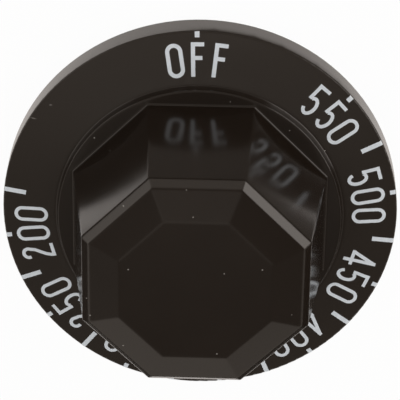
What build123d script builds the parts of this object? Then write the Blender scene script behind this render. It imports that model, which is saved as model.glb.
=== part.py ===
from build123d import *
import os
from math import atan2, cos, degrees, pi, radians, tan

os.makedirs("parts", exist_ok=True)

# Thermostat knob: a moulded phenolic dial with an octagonal grip, pushed onto a 1/4 in shaft with a flat.
# Millimetres. Z runs along the shaft from the back rim (z = 0) to the top of the grip, and OFF lies at +Y.

# Octagonal grip
GRIP_SIDES = 8
GRIP_ACROSS_FLATS = 40.3      # at the collar
GRIP_WALL_HEIGHT = 20.1       # collar to bevel
GRIP_DRAFT = 8.0              # lean of each wall, degrees
BEVEL_WIDTH = 1.1             # inward run of the narrow bevel above the walls
BEVEL_RISE = 1.25
CROWN_WIDTH = 4.65            # inward run of the sloping crown facets
CROWN_RISE = 1.75
GRIP_EDGE_RADIUS = 0.4        # rounding of every edge between the grip's facets
ROOT_RADIUS = 0.3             # fillet where the grip stands on the collar

# Collar and dial flange
COLLAR_LEDGE = 0.9            # collar beyond the grip's corners
COLLAR_HEIGHT = 1.4
COLLAR_DRAFT = 12.0           # lean of the collar's side, degrees
COLLAR_EDGE_RADIUS = 0.25
COLLAR_ROOT_BEVEL = 0.2
DIAL_WIDTH = 8.75             # printed ring from the collar to the face edge
DIAL_SLOPE = 6.0              # fall of the dial from the collar to the face edge, degrees
SKIRT_HEIGHT = 4.6            # back rim to the face edge
SKIRT_DRAFT = 1.0             # the skirt widens toward the back, degrees
FACE_EDGE_RADIUS = 0.35

# Hollow back
SKIRT_WALL = 2.4
FACE_PLATE = 2.4              # thickness of the flange under the dial
GRIP_WALL = 2.6
ROOF_THICKNESS = 3.3          # flat top to the roof of the cavity
CAVITY_CORNER_RADIUS = 1.0

# Hub and ribs
HUB_DIAMETER = 12.7
HUB_RECESS = 1.2              # hub end above the back rim
HUB_DRAFT = 1.0               # degrees
RIB_COUNT = 4
RIB_THICKNESS = 1.8
RIB_RECESS = 7.0              # rib ends above the back rim

# Shaft socket
SHAFT_DIAMETER = 6.35         # 1/4 in shaft
SHAFT_OVER_FLAT = 5.56        # shaft flat to the far side
SHAFT_CLEARANCE = 0.05        # on each side of the shaft
SOCKET_DEPTH = 15.0
SOCKET_LEAD_IN = 0.5

# Spring clip and its pocket behind the socket's flat
CLIP_WIDTH = 2.4
CLIP_THICKNESS = 0.4
CLIP_BEND_GAP = 0.7           # space between the clip's two legs
CLIP_LENGTH = 8.5
CLIP_BOW = 0.15               # how far the free leg bows past the flat
CLIP_TIP_GAP = 0.6            # free leg short of the pocket floor
CLIP_SIDE_CLEARANCE = 0.1

# Heights up the shaft axis
face_z = SKIRT_HEIGHT
dial_rise = DIAL_WIDTH * tan(radians(DIAL_SLOPE))
collar_root_z = face_z + dial_rise
collar_z = collar_root_z + COLLAR_HEIGHT
wall_top_z = collar_z + GRIP_WALL_HEIGHT
bevel_top_z = wall_top_z + BEVEL_RISE
top_z = bevel_top_z + CROWN_RISE
plate_back_z = face_z - FACE_PLATE
roof_z = top_z - ROOF_THICKNESS
hub_end_z = HUB_RECESS

# Half widths and radii
half_corner = pi / GRIP_SIDES
wall_slope = tan(radians(GRIP_DRAFT))
base_apothem = GRIP_ACROSS_FLATS / 2
wall_run = GRIP_WALL_HEIGHT * wall_slope
wall_top_apothem = base_apothem - wall_run
bevel_top_apothem = wall_top_apothem - BEVEL_WIDTH
collar_top_radius = base_apothem / cos(half_corner) + COLLAR_LEDGE
collar_root_radius = collar_top_radius + COLLAR_HEIGHT * tan(radians(COLLAR_DRAFT))
face_radius = collar_root_radius + DIAL_WIDTH
rim_radius = face_radius + SKIRT_HEIGHT * tan(radians(SKIRT_DRAFT))
hub_radius = HUB_DIAMETER / 2

# Edges and faces within this height of each other count as level
SAME_HEIGHT = 0.001

# Socket and pocket: the flat and the pocket lie on the OFF side of the shaft
socket_radius = SHAFT_DIAMETER / 2 + SHAFT_CLEARANCE
flat_y = SHAFT_OVER_FLAT - SHAFT_DIAMETER / 2 + SHAFT_CLEARANCE
pocket_width = CLIP_WIDTH + 2 * CLIP_SIDE_CLEARANCE
pocket_depth = CLIP_BEND_GAP + 2 * CLIP_THICKNESS
pocket_y = flat_y + pocket_depth
pocket_floor_z = hub_end_z + SOCKET_LEAD_IN + CLIP_LENGTH


def drafted_octagon(apothem, z, rise, run):
    """Octagonal block, one flat toward OFF, that narrows by the run on each side as it rises from z."""
    outline = RegularPolygon(apothem, GRIP_SIDES, major_radius=False, rotation=90 - 180 / GRIP_SIDES)
    return extrude(Pos(0, 0, z) * outline, rise, taper=degrees(atan2(run, rise)))


def level_at(shapes, z):
    """The edges or faces among the shapes that lie level at height z."""
    level = shapes.filter_by(lambda shape: shape.bounding_box().size.Z < SAME_HEIGHT)
    return level.filter_by_position(Axis.Z, z - SAME_HEIGHT, z + SAME_HEIGHT)


def grip():
    """Tapered octagonal grip: walls, bevel, crown facets and flat top, with softened edges."""
    solid = drafted_octagon(base_apothem, collar_z, GRIP_WALL_HEIGHT, wall_run)
    solid += drafted_octagon(wall_top_apothem, wall_top_z, BEVEL_RISE, BEVEL_WIDTH)
    solid += drafted_octagon(bevel_top_apothem, bevel_top_z, CROWN_RISE, CROWN_WIDTH)
    foot = level_at(solid.edges(), collar_z)
    return fillet(solid.edges() - foot, GRIP_EDGE_RADIUS)


def flange():
    """Dial flange, skirt and collar, turned about the shaft axis."""
    profile = make_face(
        Polyline(
            (0, 0),
            (rim_radius, 0),
            (face_radius, face_z),
            (collar_root_radius, collar_root_z),
            (collar_top_radius, collar_z),
            (0, collar_z),
            close=True,
        )
    )
    rounded_corners = [
        ((face_radius, face_z), FACE_EDGE_RADIUS),
        ((collar_top_radius, collar_z), COLLAR_EDGE_RADIUS),
    ]
    for corner, radius in rounded_corners:
        profile = fillet(profile.vertices().sort_by_distance(corner)[0], radius)
    collar_root = profile.vertices().sort_by_distance((collar_root_radius, collar_root_z))[0]
    profile = chamfer(collar_root, COLLAR_ROOT_BEVEL)
    return revolve(Plane.XZ * profile, Axis.Z)


def hollow_back():
    """Space behind the dial plate and inside the grip."""
    skirt_lean = plate_back_z * tan(radians(SKIRT_DRAFT))
    mouth_radius = rim_radius - SKIRT_WALL
    recess_radius = mouth_radius - skirt_lean
    recess = Pos(0, 0, plate_back_z / 2) * Cone(mouth_radius, recess_radius, plate_back_z)
    recess_rise = (recess_radius - collar_root_radius) * tan(radians(DIAL_SLOPE))
    recess += Pos(0, 0, plate_back_z + recess_rise / 2) * Cone(recess_radius, collar_root_radius, recess_rise)
    wall_across = GRIP_WALL / cos(radians(GRIP_DRAFT))
    mouth_apothem = base_apothem + (collar_z - plate_back_z) * wall_slope - wall_across
    depth = roof_z - plate_back_z
    cavity = drafted_octagon(mouth_apothem, plate_back_z, depth, depth * wall_slope)
    rings = level_at(cavity.edges(), plate_back_z) + level_at(cavity.edges(), roof_z)
    return recess + fillet(cavity.edges() - rings, CAVITY_CORNER_RADIUS)


def hub_and_ribs():
    """Central hub and the ribs that tie it to the grip walls."""
    hub_height = roof_z - hub_end_z
    hub_root_radius = hub_radius + hub_height * tan(radians(HUB_DRAFT))
    solid = Pos(0, 0, hub_end_z + hub_height / 2) * Cone(hub_radius, hub_root_radius, hub_height)
    rib_height = roof_z - RIB_RECESS
    rib = Pos(0, 0, RIB_RECESS + rib_height / 2) * Box(2 * base_apothem, RIB_THICKNESS, rib_height)
    for spoke in PolarLocations(0, RIB_COUNT // 2, start_angle=180 / RIB_COUNT, angular_range=180):
        solid += spoke * rib
    return solid


def shaft_socket():
    """D-shaped socket with a lead-in at its mouth, and the clip's pocket behind the flat."""
    bore = Pos(0, 0, hub_end_z + SOCKET_DEPTH / 2) * Cylinder(socket_radius, SOCKET_DEPTH)
    beyond_flat = Pos(0, flat_y + socket_radius, hub_end_z + SOCKET_DEPTH / 2) * Box(
        2 * socket_radius, 2 * socket_radius, SOCKET_DEPTH
    )
    lead_in = Pos(0, 0, hub_end_z + SOCKET_LEAD_IN / 2) * Cone(
        socket_radius + SOCKET_LEAD_IN, socket_radius, SOCKET_LEAD_IN
    )
    pocket_height = pocket_floor_z - hub_end_z
    pocket = Pos(0, pocket_y / 2, hub_end_z + pocket_height / 2) * Box(pocket_width, pocket_y, pocket_height)
    return bore - beyond_flat + lead_in + pocket


def outside():
    """The knob as it looks from the front: flange and grip, with a fillet where they meet."""
    solid = flange() + grip()
    ledge = level_at(solid.faces(), collar_z).sort_by(SortBy.AREA)[-1]
    return fillet(ledge.inner_wires()[0].edges(), ROOT_RADIUS)


def knob_body():
    """The whole moulding: hollowed from the back, then given its hub, ribs and socket."""
    shape = outside()
    return shape - hollow_back() + (hub_and_ribs() & shape) - shaft_socket()


def shaft_spring_clip():
    """Hairpin strip: outer leg on the pocket wall, bend at the mouth, free leg bowed past the flat."""
    bend_radius = pocket_depth / 2
    bend_z = hub_end_z + SOCKET_LEAD_IN + bend_radius
    leg_length = pocket_floor_z - bend_z
    outer_leg = Rectangle(CLIP_THICKNESS, leg_length)
    outer_leg = Pos(pocket_y - CLIP_THICKNESS / 2, bend_z + leg_length / 2) * outer_leg
    ring = Circle(bend_radius) - Circle(bend_radius - CLIP_THICKNESS)
    nose = Pos(0, -bend_radius / 2) * Rectangle(2 * bend_radius, bend_radius)
    bend = Pos(flat_y + bend_radius, bend_z) * (ring & nose)
    tip_z = pocket_floor_z - CLIP_TIP_GAP
    near = ThreePointArc((flat_y, bend_z), (flat_y - CLIP_BOW, (bend_z + tip_z) / 2), (flat_y, tip_z))
    far = Pos(CLIP_THICKNESS, 0) * near
    ends = [Line(near @ 0, far @ 0), Line(near @ 1, far @ 1)]
    free_leg = make_face([near, far] + ends)
    profile = outer_leg + bend + free_leg
    return extrude(Plane.YZ * profile, CLIP_WIDTH / 2, both=True)


export_step(knob_body(), "parts/knob_body.step")
export_step(shaft_spring_clip(), "parts/shaft_spring_clip.step")
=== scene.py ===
import math

import bmesh
import bpy
from mathutils import Euler, Matrix, Vector
from mathutils.geometry import delaunay_2d_cdt


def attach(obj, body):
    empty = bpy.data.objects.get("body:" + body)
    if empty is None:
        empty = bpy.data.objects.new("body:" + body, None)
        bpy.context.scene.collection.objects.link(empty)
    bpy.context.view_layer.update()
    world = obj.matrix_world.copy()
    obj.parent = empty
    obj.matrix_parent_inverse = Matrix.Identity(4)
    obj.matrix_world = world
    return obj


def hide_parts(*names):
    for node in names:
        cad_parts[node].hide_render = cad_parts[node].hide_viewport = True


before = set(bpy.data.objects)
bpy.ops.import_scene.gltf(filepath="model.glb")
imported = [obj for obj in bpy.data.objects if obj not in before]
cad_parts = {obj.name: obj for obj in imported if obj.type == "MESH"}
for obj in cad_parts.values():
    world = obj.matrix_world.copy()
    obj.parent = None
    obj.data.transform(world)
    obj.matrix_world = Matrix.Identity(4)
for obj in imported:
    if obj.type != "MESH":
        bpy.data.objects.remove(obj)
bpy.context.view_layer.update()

# Thermostat knob: moulded black phenolic with a white paint-filled dial, and a spring clip in its socket.
# Sizes are in millimetres and degrees, and MM turns them to the frame's metres.
MM = 0.001

# Dial, as in the part's source: a shallow cone that falls toward the face edge
FACE_Z = 4.6
FACE_RADIUS = 31.758
DIAL_SLOPE = 6.0
DIAL_TOP_Z = 5.5              # just under the bevel at the collar's foot

# Surfaces taken from the CAD
MERGE_DISTANCE = 0.0005
CREASE = 50.0                 # edges that turn more than this stay sharp
FLAT_WEIGHT = 100             # how strongly a large facet rules the normals at its edges

# Dial marks: clockwise from OFF, seen from the front
HOTTEST = 550
COOLEST = 200
HEAT_STEP = 25
LEGEND_TURN = -1.5            # the print stands a little askew on the octagon
FIRST_MARK = 49.56            # the hottest
MARK_STEP = 17.015            # from one mark to the next
MARK_CLOSING = -0.2353        # the scale closes up toward the middle
MARK_OPENING = 0.00785        # and opens a little at the low end
DOT_WIDTH = 0.74
DOT_LENGTH = 0.88
TICK_WIDTH = 0.76
TICK_LENGTH = 3.5
MARK_END_RADIUS = 31.66       # on the rounding of the face edge
MARK_POINTS_ACROSS = 3        # mesh points of one mark
MARK_POINTS_ALONG = 25
INK_THICKNESS = 0.04
INK_SINK = 0.02

# Figures
FIGURE_HEIGHT = 5.5
FIGURE_WIDTH = 2.62
STROKE = 0.57                 # of the numbers
LETTER_STROKE = 0.65          # of OFF
FIGURE_INSET = 1.81           # tops below the face edge
FIGURE_PITCH = 7.35           # degrees between neighbouring figures
SAME_POINT = 1e-5             # points of a figure nearer than this are one
SAME_FACE = 1.0               # faces of a figure that turn less than this are one
INSIDE_STROKES = 1            # the triangulation's output: what lies within a stroke's quads

# Moulding's finish
GRIP_ROUGHNESS = 0.11
DIAL_ROUGHNESS = 0.2
DIAL_BLEND = 0.05             # height over which the dial's finish gives way to the grip's
SMUDGE_ROUGHNESS = 0.06       # the most that handling adds
SMUDGE_SIZE = 9.0
GRAIN_SIZE = 0.6
GRAIN_DEPTH = 0.02
GRAIN_STRENGTH = 0.03
PHENOLIC_IOR = 1.58

# Wear: radius to which the shading rounds an edge
DIAL_EDGE_WEAR = 0.25         # of the dial and collar
GRIP_EDGE_WEAR = 0.6
DIAL_WEAR_Z = 7.5             # the dial's wear up to here
GRIP_WEAR_Z = 9.5             # and the grip's from here
WEAR_SAMPLES = 8

# Dust
DUST_SPACING = 5.0
DUST_RADIUS = 0.13
DUST_SHARE = 0.35             # part of the places that hold a speck
DUST_UPRIGHT = 0.6            # faces whose normal rises less hold none

# Light marks on the flange, left of OFF: middle, length, width and turn
SCRATCH = (-26.5, 16.34, 1.15, 0.26, -10.0)
LARGE_SPECK = (-23.71, 18.76, 0.58, 0.32, 3.0)
LIGHT_MARK_REACH = 1.0        # above and below the face edge's height
LIGHT_MARK_CORE = 0.3         # full strength within this part of its width
LIGHT_MARK_STRENGTH = 0.55

# Paint and spring strip
PAINT_PATCH_SIZE = 0.9
STRIP_LINE_SIZE = 0.15
STRIP_LINE_SQUEEZE = 0.05     # of the noise along the strip, which draws it out into lines

# Floor, and the dark card above it that leaves a white mat round the knob: the mat is narrowest by OFF. The
# card is a dim glow that only reflections see: painted reflections of a dark surround.
FLOOR_RADIUS = 3000.0
FLOOR_DROP = 0.1              # below the back rim, so that the two don't coincide
FLOOR_GLOW = 0.96             # share of an even glow in what the camera and reflections see
FLOOR_TINT = (1.0, 0.93, 0.88, 1.0)  # of that glow in reflections
RING_POINTS = 96
MAT_NEAR = 33.8
MAT_SPREAD = 7.0
MAT_TURN = 12.0
MAT_POWER = 1.5
CARD_Z = 0.3
CARD_REACH = 900.0
CARD_FADE = (34.0, 70.0)      # from the axis
# Painted reflections: the card's glow at the near and far ends of its fade, then a factor from left to right
CARD_REFLECTION_GLOWS = (0.2, 0.05)
CARD_SIDES = (-100.0, 100.0)  # left and right
CARD_SIDE_REFLECTION_GLOWS = (1.5, 0.4)

# Room: grey by how high a direction points, from level to straight up
ROOM_TINT = (1.0, 0.9, 0.8)
ROOM_STOPS = [
    (0.0, 0.46), (0.4, 0.57), (0.55, 0.16), (0.75, 0.17),
    (0.86, 0.095), (0.93, 0.29), (0.985, 0.29), (1.0, 0.42)]
ROOM_LEAN = 0.8               # how much darker it gets high on the right, and lighter on the left
LAMP_TINT = (1.0, 0.93, 0.87)
LAMP_AIM_Z = 15.0

# Camera, as fitted to the photograph
CAMERA_LENS = 186.77
CAMERA_SENSOR = 36.0
CAMERA_NEAR = 10.0
CAMERA_PLACE = (5.750, 153.298, 302.285)
CAMERA_TURN = (-26.8391, 1.4949, 0.7733)

WHITE = (1.0, 1.0, 1.0, 1.0)


def linear(hex_colour):
    """Linear RGBA of an sRGB hex colour."""
    parts = [int(hex_colour[i:i + 2], 16) / 255 for i in (1, 3, 5)]
    return [c / 12.92 if c <= 0.04045 else ((c + 0.055) / 1.055) ** 2.4 for c in parts] + [1.0]


def add(tree, kind, inputs=None, **settings):
    """Adds a node with its settings; an input is a value to set or a socket to link from."""
    made = tree.nodes.new(kind)
    for name, value in settings.items():
        setattr(made, name, value)
    for name, value in (inputs or {}).items():
        if isinstance(value, bpy.types.NodeSocket):
            tree.links.new(value, made.inputs[name])
        else:
            made.inputs[name].default_value = value
    return made


def maths(tree, operation, *values, clamp=False):
    """Result of a math node on numbers and sockets."""
    made = add(tree, "ShaderNodeMath", dict(enumerate(values)), operation=operation, use_clamp=clamp)
    return made.outputs[0]


def remapped(tree, value, start, end, low=0.0, high=1.0):
    """Socket that goes from low to high as the value goes from start to end, and stays within them."""
    return add(tree, "ShaderNodeMapRange", {
        "Value": value, "From Min": start, "From Max": end, "To Min": low, "To Max": high}).outputs[0]


def blended(tree, share, first, second):
    """Colour that goes from the first to the second with the share."""
    return add(tree, "ShaderNodeMix", {0: share, 6: first, 7: second}, data_type="RGBA").outputs[2]


def noise(tree, place, size, detail):
    """Noise whose patches have the given size."""
    return add(tree, "ShaderNodeTexNoise", {
        "Vector": place, "Scale": 1 / (size * MM), "Detail": detail}).outputs["Fac"]


def material(name):
    """New node material and its empty tree."""
    made = bpy.data.materials.new(name)
    made.use_nodes = True
    made.node_tree.nodes.clear()
    return made, made.node_tree


def finished(tree, **inputs):
    """Ends a material's tree in a principled surface with the given inputs."""
    named = {name.replace("_", " "): value for name, value in inputs.items()}
    surface = add(tree, "ShaderNodeBsdfPrincipled", named)
    add(tree, "ShaderNodeOutputMaterial", {"Surface": surface.outputs[0]})


def mesh_from(bm, name):
    """Mesh with the given name from a bmesh, which is freed."""
    mesh = bpy.data.meshes.new(name)
    bm.to_mesh(mesh)
    bm.free()
    return mesh


def piece(name, mesh, finish):
    """Object at the origin with one material."""
    made = bpy.data.objects.new(name, mesh)
    bpy.context.collection.objects.link(made)
    made.data.materials.clear()
    made.data.materials.append(finish)
    return made


def smoothed_copy(node_name, finish):
    """Merged copy of a CAD node with smooth roundings and flat facets."""
    bm = bmesh.new()
    bm.from_mesh(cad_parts[node_name].data)
    bmesh.ops.remove_doubles(bm, verts=bm.verts, dist=MERGE_DISTANCE * MM)
    for edge in bm.edges:
        edge.smooth = edge.calc_face_angle(math.pi) < math.radians(CREASE)
    for face in bm.faces:
        face.smooth = True
    made = piece(node_name + "_surface", mesh_from(bm, node_name + "_smooth"), finish)
    flats = made.modifiers.new("flat facets", "WEIGHTED_NORMAL")
    flats.keep_sharp = True
    flats.weight = FLAT_WEIGHT
    return made


def dust_specks(tree, place):
    """Socket that is 1 on a few round specks, on faces that look up."""
    cells = add(tree, "ShaderNodeTexVoronoi", {
        "Vector": place, "Scale": 1 / (DUST_SPACING * MM)}, voronoi_dimensions="2D").outputs
    chance = add(tree, "ShaderNodeSeparateColor", {0: cells["Color"]}).outputs
    settled = maths(tree, "GREATER_THAN", chance[0], 1 - DUST_SHARE)
    largest = DUST_RADIUS / DUST_SPACING
    radius = remapped(tree, chance[1], 0, 1, largest / 2, largest)
    speck = maths(tree, "LESS_THAN", cells["Distance"], radius)
    normal = add(tree, "ShaderNodeNewGeometry").outputs["Normal"]
    rise = add(tree, "ShaderNodeSeparateXYZ", {0: normal}).outputs["Z"]
    faces_up = maths(tree, "GREATER_THAN", rise, DUST_UPRIGHT)
    return maths(tree, "MULTIPLY", maths(tree, "MULTIPLY", speck, settled), faces_up)


def light_mark(tree, place, x, y, length, width, turn):
    """Socket that rises within a soft oval on the flange."""
    within = add(tree, "ShaderNodeMapping", {
        "Vector": place, "Location": Vector((x, y, FACE_Z)) * MM, "Rotation": (0, 0, math.radians(turn)),
        "Scale": Vector((length / 2, width / 2, LIGHT_MARK_REACH)) * MM}, vector_type="TEXTURE")
    away = add(tree, "ShaderNodeVectorMath", {0: within.outputs[0]}, operation="LENGTH").outputs["Value"]
    return remapped(tree, away, 1.0, LIGHT_MARK_CORE, 0.0, LIGHT_MARK_STRENGTH)


# Moulded phenolic: warm black, polished by the mould on the grip, a little duller and paler on the dial
# face, with edges rubbed rounder by hands, specks of dust on the grip and collar, and a scratch and a
# larger speck on the flange
phenolic, tree = material("phenolic_moulding_black")
place = add(tree, "ShaderNodeTexCoord").outputs["Object"]
height = add(tree, "ShaderNodeSeparateXYZ", {0: place}).outputs["Z"]
on_dial = remapped(tree, height, DIAL_TOP_Z * MM, (DIAL_TOP_Z - DIAL_BLEND) * MM)
smudges = noise(tree, place, SMUDGE_SIZE, detail=3)
polish = remapped(tree, on_dial, 0, 1, GRIP_ROUGHNESS, DIAL_ROUGHNESS)
wear = remapped(tree, height, DIAL_WEAR_Z * MM, GRIP_WEAR_Z * MM, DIAL_EDGE_WEAR * MM, GRIP_EDGE_WEAR * MM)
rubbed = add(tree, "ShaderNodeBevel", {"Radius": wear}, samples=WEAR_SAMPLES)
skin = add(tree, "ShaderNodeBump", {
    "Height": noise(tree, place, GRAIN_SIZE, detail=2), "Strength": GRAIN_STRENGTH,
    "Distance": GRAIN_DEPTH * MM, "Normal": rubbed.outputs[0]})
black = blended(tree, smudges, linear("#1d1712"), linear("#221b16"))
black = blended(tree, on_dial, black, linear("#27211c"))
pale = maths(tree, "SUBTRACT", dust_specks(tree, place), on_dial, clamp=True)
for mark in (SCRATCH, LARGE_SPECK):
    pale = maths(tree, "MAXIMUM", pale, light_mark(tree, place, *mark))
finished(tree, Base_Color=blended(tree, pale, black, linear("#8b8884")),
         Roughness=maths(tree, "MULTIPLY_ADD", smudges, SMUDGE_ROUGHNESS, polish),
         IOR=PHENOLIC_IOR, Normal=skin.outputs[0])

# White stove paint wiped into the dial marks: slightly cool, thin in places
dial_paint, tree = material("dial_paint_white")
place = add(tree, "ShaderNodeTexCoord").outputs["Object"]
thin = noise(tree, place, PAINT_PATCH_SIZE, detail=3)
finished(tree, Base_Color=blended(tree, thin, linear("#d2dbe4"), linear("#eaf1f8")), Roughness=0.5, IOR=1.5)

# Rolled spring steel: bright, with fine lines along the strip
spring_steel, tree = material("spring_steel_rolled")
place = add(tree, "ShaderNodeTexCoord").outputs["Object"]
along = add(tree, "ShaderNodeMapping", {"Vector": place, "Scale": (1, 1, STRIP_LINE_SQUEEZE)}).outputs[0]
lines = noise(tree, along, STRIP_LINE_SIZE, detail=2)
finished(tree, Base_Color=blended(tree, lines, linear("#a9abae"), linear("#c8c9cb")),
         Roughness=remapped(tree, lines, 0, 1, 0.2, 0.38), Metallic=1.0)

knob = smoothed_copy("knob_body", phenolic)
clip = smoothed_copy("shaft_spring_clip", spring_steel)


def arc(x, y, across, up, start, end, steps=14):
    """Points along an elliptical arc, in degrees anticlockwise from +X."""
    turns = [math.radians(start + (end - start) * i / steps) for i in range(steps + 1)]
    return [(x + across * math.cos(t), y + up * math.sin(t)) for t in turns]


# Figures as the middle lines of their strokes, upright in a box with its foot at y = 0 and middle at x = 0
side = (FIGURE_WIDTH - STROKE) / 2
foot = STROKE / 2
head = FIGURE_HEIGHT - STROKE / 2
loop = (arc(0, head - side, side, side, 0, 180) + arc(0, foot + side, side, side, 180, 360)
        + [(side, head - side)])
FIGURES = {
    "O": [loop],
    "0": [loop],
    "F": [
        [(-0.67, 0), (-0.67, FIGURE_HEIGHT)],
        [(-0.99, head), (1.08, head)],
        [(-0.99, 3.02), (0.78, 3.02)],
    ],
    "5": [
        [(-1.1, head), (1.12, head)],
        [(-0.78, FIGURE_HEIGHT), (-0.88, 2.6)],
        arc(0, 1.7, 0.87, 1.7 - foot, 130, -152),
    ],
    "4": [
        [(0.46, 0), (0.46, FIGURE_HEIGHT)],
        [(-1.36, 1.4), (1.36, 1.4)],
        [(0.46, head), (-1.08, 1.4)],
    ],
    "3": [
        arc(0, 4.1, 0.8, head - 4.1, 165, -90),
        arc(0, 1.68, 0.87, 1.68 - foot, 90, -160),
    ],
    "2": [
        arc(0, 4.4, 0.8, head - 4.4, 198, -30)
        + [(0.46, 3.2), (-0.1, 2.35), (-0.62, 1.5), (-0.88, 0.8), (-0.96, 0)],
        [(-1.22, foot), (1.15, foot)],
    ],
}


def ribbon(path, width):
    """Quads of the given width along a path, which may close on itself."""
    points = [Vector(p) for p in path]
    closed = (points[0] - points[-1]).length < SAME_POINT
    before = [points[-2] if closed else points[0]] + points[:-1]
    after = points[1:] + [points[1] if closed else points[-1]]
    sides = []
    for point, back, ahead in zip(points, before, after):
        run = (ahead - back).normalized()
        across = Vector((-run.y, run.x)) * width / 2
        sides.append((point + across, point - across))
    return [(a[0], a[1], b[1], b[0]) for a, b in zip(sides, sides[1:])]


def figure_at(figure, angle):
    """Corners of a figure's quads on the dial, with its top outward, at an angle clockwise from OFF."""
    foot_radius = FACE_RADIUS - FIGURE_INSET - FIGURE_HEIGHT
    turn = -math.radians(LEGEND_TURN + angle)
    c, s = math.cos(turn), math.sin(turn)
    width = LETTER_STROKE if figure in "OF" else STROKE
    placed = []
    for path in FIGURES[figure]:
        for quad in ribbon(path, width):
            outward = [(p.x, p.y + foot_radius) for p in quad]
            placed.append([(x * c - y * s, x * s + y * c) for x, y in outward])
    return placed


def inked(name, figures):
    """One closed film of paint for figures given with their angles: strokes merged flat, then thickened."""
    bm = bmesh.new()
    for figure, angle in figures:
        corners = [Vector(p) for quad in figure_at(figure, angle) for p in quad]
        faces = [list(range(i, i + 4)) for i in range(0, len(corners), 4)]
        points, _, merged, _, _, origin = delaunay_2d_cdt(corners, [], faces, INSIDE_STROKES, SAME_POINT)
        verts = [bm.verts.new((p.x * MM, p.y * MM, 0)) for p in points]
        for corner_ids, parents in zip(merged, origin):
            if parents:
                bm.faces.new([verts[i] for i in corner_ids])
    bmesh.ops.delete(bm, geom=[v for v in bm.verts if not v.link_faces], context="VERTS")
    bmesh.ops.dissolve_limit(bm, angle_limit=math.radians(SAME_FACE), verts=bm.verts, edges=bm.edges)
    raised = bmesh.ops.extrude_face_region(bm, geom=bm.faces[:], use_keep_orig=True)
    top = [v for v in raised["geom"] if isinstance(v, bmesh.types.BMVert)]
    bmesh.ops.translate(bm, verts=top, vec=(0, 0, (INK_SINK + INK_THICKNESS) * MM))
    for vert in bm.verts:
        fall = (math.hypot(vert.co.x, vert.co.y) - FACE_RADIUS * MM) * math.tan(math.radians(DIAL_SLOPE))
        vert.co.z += (FACE_Z - INK_SINK) * MM - fall
    bmesh.ops.recalc_face_normals(bm, faces=bm.faces)
    return piece(name, mesh_from(bm, name), dial_paint)


def mark_angle(number):
    """Angle of a temperature's mark, clockwise from OFF."""
    step = (HOTTEST - number) / HEAT_STEP
    return FIRST_MARK + step * (MARK_STEP + step * (MARK_CLOSING + step * MARK_OPENING))


def spread(word, angle):
    """The word's figures with their own angles, centred on the given one."""
    middle = (len(word) - 1) / 2
    return [(figure, angle + (i - middle) * FIGURE_PITCH) for i, figure in enumerate(word)]


# Every other mark has its temperature written
temperatures = range(HOTTEST, COOLEST - 1, -2 * HEAT_STEP)
written = spread("OFF", 0)
for number in temperatures:
    written += spread(str(number), mark_angle(number))
figures = inked("dial_figures", written)


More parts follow.
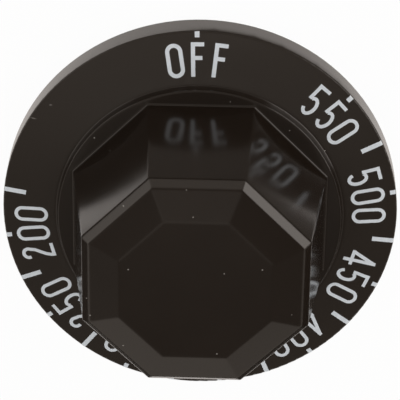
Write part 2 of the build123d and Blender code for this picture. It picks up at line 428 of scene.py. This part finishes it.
def marks_group():
    """Geometry tree that lays a row of marks round the dial and drops them on the moulding."""
    tree = bpy.data.node_groups.new("dial_marks", "GeometryNodeTree")
    kinds = {"Knob": "NodeSocketObject", "Paint": "NodeSocketMaterial", "Marks": "NodeSocketInt"}
    numbers = ["First", "Every", "Start Angle", "Step Angle", "Step Closing", "Step Opening", "Width",
               "Length", "End Radius", "Paint Thickness", "Paint Sink"]
    for port in [*kinds, *numbers]:
        tree.interface.new_socket(port, in_out="INPUT", socket_type=kinds.get(port, "NodeSocketFloat"))
    tree.interface.new_socket("Geometry", in_out="OUTPUT", socket_type="NodeSocketGeometry")
    given = add(tree, "NodeGroupInput").outputs

    # One turn for each mark of the row
    row = add(tree, "GeometryNodePoints", {"Count": given["Marks"]})
    index = add(tree, "GeometryNodeInputIndex").outputs[0]
    step = maths(tree, "MULTIPLY_ADD", index, given["Every"], given["First"])
    angle = maths(tree, "MULTIPLY_ADD", step, given["Step Opening"], given["Step Closing"])
    angle = maths(tree, "MULTIPLY_ADD", step, angle, given["Step Angle"])
    angle = maths(tree, "MULTIPLY_ADD", step, angle, given["Start Angle"])
    turn = add(tree, "ShaderNodeCombineXYZ", {"Z": maths(tree, "MULTIPLY", angle, -1.0)})

    # A bar out at the face edge, laid at each turn
    size = add(tree, "ShaderNodeCombineXYZ", {"X": given["Width"], "Y": given["Length"], "Z": given["Width"]})
    bar = add(tree, "GeometryNodeMeshCube", {
        "Size": size.outputs[0], "Vertices X": MARK_POINTS_ACROSS, "Vertices Y": MARK_POINTS_ALONG,
        "Vertices Z": 2})
    middle = maths(tree, "MULTIPLY_ADD", given["Length"], -0.5, given["End Radius"])
    outward = add(tree, "ShaderNodeCombineXYZ", {"Y": middle})
    bar_out = add(tree, "GeometryNodeTransform", {
        "Geometry": bar.outputs[0], "Translation": outward.outputs[0]})
    laid = add(tree, "GeometryNodeInstanceOnPoints", {
        "Points": row.outputs[0], "Instance": bar_out.outputs[0], "Rotation": turn.outputs[0]})
    bars = add(tree, "GeometryNodeRealizeInstances", {"Geometry": laid.outputs[0]})

    # Each point dropped on the moulding: the bars' tops to the paint's surface, their feet into the moulding
    point = add(tree, "ShaderNodeSeparateXYZ", {0: add(tree, "GeometryNodeInputPosition").outputs[0]}).outputs
    above = add(tree, "ShaderNodeCombineXYZ", {"X": point["X"], "Y": point["Y"], "Z": 2 * FACE_Z * MM})
    moulding = add(tree, "GeometryNodeObjectInfo", {"Object": given["Knob"]})
    drop = add(tree, "GeometryNodeRaycast", {
        "Target Geometry": moulding.outputs["Geometry"], "Source Position": above.outputs[0],
        "Ray Direction": (0, 0, -1), "Ray Length": 3 * FACE_Z * MM})
    is_top = maths(tree, "GREATER_THAN", point["Z"], 0.0)
    film = maths(tree, "ADD", given["Paint Thickness"], given["Paint Sink"])
    lift = maths(tree, "SUBTRACT", maths(tree, "MULTIPLY", is_top, film), given["Paint Sink"])
    lift_by = add(tree, "ShaderNodeVectorMath", {
        0: drop.outputs["Hit Normal"], "Scale": lift}, operation="SCALE")
    onto = add(tree, "ShaderNodeVectorMath", {0: drop.outputs["Hit Position"], 1: lift_by.outputs[0]})
    wrapped = add(tree, "GeometryNodeSetPosition", {"Geometry": bars.outputs[0], "Position": onto.outputs[0]})
    painted = add(tree, "GeometryNodeSetMaterial", {
        "Geometry": wrapped.outputs[0], "Material": given["Paint"]})
    add(tree, "NodeGroupOutput", {"Geometry": painted.outputs[0]})
    return tree


marks_tree = marks_group()


def dial_marks(name, marks, first, width, length, start=FIRST_MARK):
    """Plain mesh of a row of marks, every other one of the scale, from the geometry tree."""
    carrier = piece(name + "_row", bpy.data.meshes.new(name + "_row"), dial_paint)
    row_modifier = carrier.modifiers.new("marks", "NODES")
    row_modifier.node_group = marks_tree
    values = {
        "Knob": knob,
        "Paint": dial_paint,
        "Marks": marks,
        "First": first,
        "Every": 2.0,
        "Start Angle": math.radians(start + LEGEND_TURN),
        "Step Angle": math.radians(MARK_STEP),
        "Step Closing": math.radians(MARK_CLOSING),
        "Step Opening": math.radians(MARK_OPENING),
        "Width": width * MM,
        "Length": length * MM,
        "End Radius": MARK_END_RADIUS * MM,
        "Paint Thickness": INK_THICKNESS * MM,
        "Paint Sink": INK_SINK * MM,
    }
    for port in marks_tree.interface.items_tree:
        if port.name in values:
            row_modifier[port.identifier] = values[port.name]
    evaluated = carrier.evaluated_get(bpy.context.evaluated_depsgraph_get())
    mesh = bpy.data.meshes.new_from_object(evaluated)
    mesh.name = name
    bpy.data.objects.remove(carrier)
    return piece(name, mesh, dial_paint)


# A dot at each written temperature and at OFF, and a tick after each temperature
dots = dial_marks("dial_dots", len(temperatures), 0.0, DOT_WIDTH, DOT_LENGTH)
ticks = dial_marks("dial_ticks", len(temperatures), 1.0, TICK_WIDTH, TICK_LENGTH)
off_dot = dial_marks("dial_off_dot", 1, 0.0, DOT_WIDTH, DOT_LENGTH, start=0.0)

for made in (knob, clip, figures, dots, ticks, off_dot):
    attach(made, "root")
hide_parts("knob_body")
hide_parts("shaft_spring_clip")

# White paper floor: keeps a soft shadow, glows for the camera and in reflections, and is clear from below
floor_paper, tree = material("floor_paper_white")
rays = add(tree, "ShaderNodeLightPath").outputs
seen = maths(tree, "ADD", rays["Is Camera Ray"], rays["Is Glossy Ray"])
seen = maths(tree, "ADD", seen, rays["Is Transmission Ray"], clamp=True)
paper = add(tree, "ShaderNodeBsdfDiffuse", {"Color": linear("#f4f4f2")})
glow = blended(tree, rays["Is Camera Ray"], FLOOR_TINT, WHITE)
white = add(tree, "ShaderNodeEmission", {"Color": glow, "Strength": 1.0})
top_side = add(tree, "ShaderNodeMixShader", {
    0: maths(tree, "MULTIPLY", seen, FLOOR_GLOW), 1: paper.outputs[0], 2: white.outputs[0]})
from_below = add(tree, "ShaderNodeNewGeometry").outputs["Backfacing"]
clear = add(tree, "ShaderNodeBsdfTransparent")
one_sided = add(tree, "ShaderNodeMixShader", {0: from_below, 1: top_side.outputs[0], 2: clear.outputs[0]})
add(tree, "ShaderNodeOutputMaterial", {"Surface": one_sided.outputs[0]})
bm = bmesh.new()
bmesh.ops.create_circle(bm, cap_ends=True, segments=RING_POINTS, radius=FLOOR_RADIUS * MM,
                        matrix=Matrix.Translation((0, 0, -FLOOR_DROP * MM)))
floor = piece("floor", mesh_from(bm, "floor"), floor_paper)

# Dim room round the knob: palest low down, darker above, lighter again overhead and on the left
world = bpy.data.worlds.new("studio")
bpy.context.scene.world = world
world.use_nodes = True
tree = world.node_tree
tree.nodes.clear()
way = add(tree, "ShaderNodeSeparateXYZ", {0: add(tree, "ShaderNodeTexCoord").outputs["Generated"]}).outputs
ramp = add(tree, "ShaderNodeValToRGB", {0: way["Z"]})
for where, _ in ROOM_STOPS[1:-1]:
    ramp.color_ramp.elements.new(where)
for stop, (_, grey) in zip(ramp.color_ramp.elements, ROOM_STOPS):
    stop.color = [grey * c for c in ROOM_TINT] + [1]
high_right = maths(tree, "MULTIPLY", way["X"], way["Z"])
leftward = maths(tree, "MULTIPLY_ADD", high_right, -ROOM_LEAN, 1.0)
room = add(tree, "ShaderNodeBackground", {"Color": ramp.outputs["Color"], "Strength": leftward})
white = add(tree, "ShaderNodeBackground", {"Color": WHITE, "Strength": 1.0})
rays = add(tree, "ShaderNodeLightPath").outputs
backdrop = add(tree, "ShaderNodeMixShader", {
    0: rays["Is Camera Ray"], 1: room.outputs[0], 2: white.outputs[0]})
add(tree, "ShaderNodeOutputWorld", {"Surface": backdrop.outputs[0]})


def softbox(name, azimuth, elevation, distance, width, height, brightness, tint=LAMP_TINT):
    """Area lamp facing the knob; azimuth runs from the side away from OFF (-Y) toward +X."""
    lamp = bpy.data.lights.new(name, "AREA")
    lamp.shape = "RECTANGLE"
    lamp.size = width * MM
    lamp.size_y = height * MM
    lamp.energy = brightness * math.pi * width * MM * height * MM
    lamp.color = tint
    made = bpy.data.objects.new(name, lamp)
    bpy.context.collection.objects.link(made)
    a, e = math.radians(azimuth), math.radians(elevation)
    towards = Vector((math.sin(a) * math.cos(e), -math.cos(a) * math.cos(e), math.sin(e)))
    made.location = (towards * distance + Vector((0, 0, LAMP_AIM_Z))) * MM
    made.rotation_euler = towards.to_track_quat("Z", "Y").to_euler()
    return made


softbox("softbox_right", 115, 16, distance=500, width=450, height=300, brightness=1.95)
softbox("softbox_left", -113, 15, distance=500, width=450, height=300, brightness=0.46)
overhead = softbox("softbox_overhead", 0, 88, distance=800, width=900, height=900, brightness=1.42,
                   tint=WHITE[:3])
overhead.visible_glossy = False

# Card round the knob's white mat that glows a dim grey, fading outward and lighter on the left: only
# reflections see it, so it puts painted dark reflections into the knob and casts no light or shadow
card_reflection_glow, tree = material("card_painted_reflection")
place = add(tree, "ShaderNodeTexCoord").outputs["Object"]
from_axis = add(tree, "ShaderNodeVectorMath", {0: place}, operation="LENGTH").outputs["Value"]
rightward = add(tree, "ShaderNodeSeparateXYZ", {0: place}).outputs["X"]
shade = maths(tree, "MULTIPLY", remapped(tree, from_axis, *[r * MM for r in CARD_FADE], *CARD_REFLECTION_GLOWS),
              remapped(tree, rightward, *[x * MM for x in CARD_SIDES], *CARD_SIDE_REFLECTION_GLOWS))
card_glow = add(tree, "ShaderNodeEmission", {"Color": (*ROOM_TINT, 1.0), "Strength": shade})
add(tree, "ShaderNodeOutputMaterial", {"Surface": card_glow.outputs[0]})
bm = bmesh.new()
inner, outer = [], []
for i in range(RING_POINTS):
    a = math.radians(360 * i / RING_POINTS)
    outward = Vector((math.sin(a), math.cos(a), 0))
    reach = MAT_NEAR + MAT_SPREAD * (1 - math.cos(a - math.radians(MAT_TURN))) ** MAT_POWER
    inner.append(bm.verts.new((outward * reach + Vector((0, 0, CARD_Z))) * MM))
    outer.append(bm.verts.new((outward * CARD_REACH + Vector((0, 0, CARD_Z))) * MM))
for i in range(RING_POINTS):
    bm.faces.new([inner[i - 1], inner[i], outer[i], outer[i - 1]])
card = piece("card", mesh_from(bm, "card"), card_reflection_glow)
card.visible_camera = False
card.visible_diffuse = False
card.visible_shadow = False

camera_data = bpy.data.cameras.new("camera")
camera_data.sensor_width = CAMERA_SENSOR
camera_data.lens = CAMERA_LENS
camera_data.clip_start = CAMERA_NEAR * MM
camera = bpy.data.objects.new("camera", camera_data)
bpy.context.collection.objects.link(camera)
camera.location = Vector(CAMERA_PLACE) * MM
camera.rotation_euler = Euler([math.radians(v) for v in CAMERA_TURN], "XYZ")
bpy.context.scene.camera = camera
bpy.context.scene.view_settings.view_transform = "Standard"
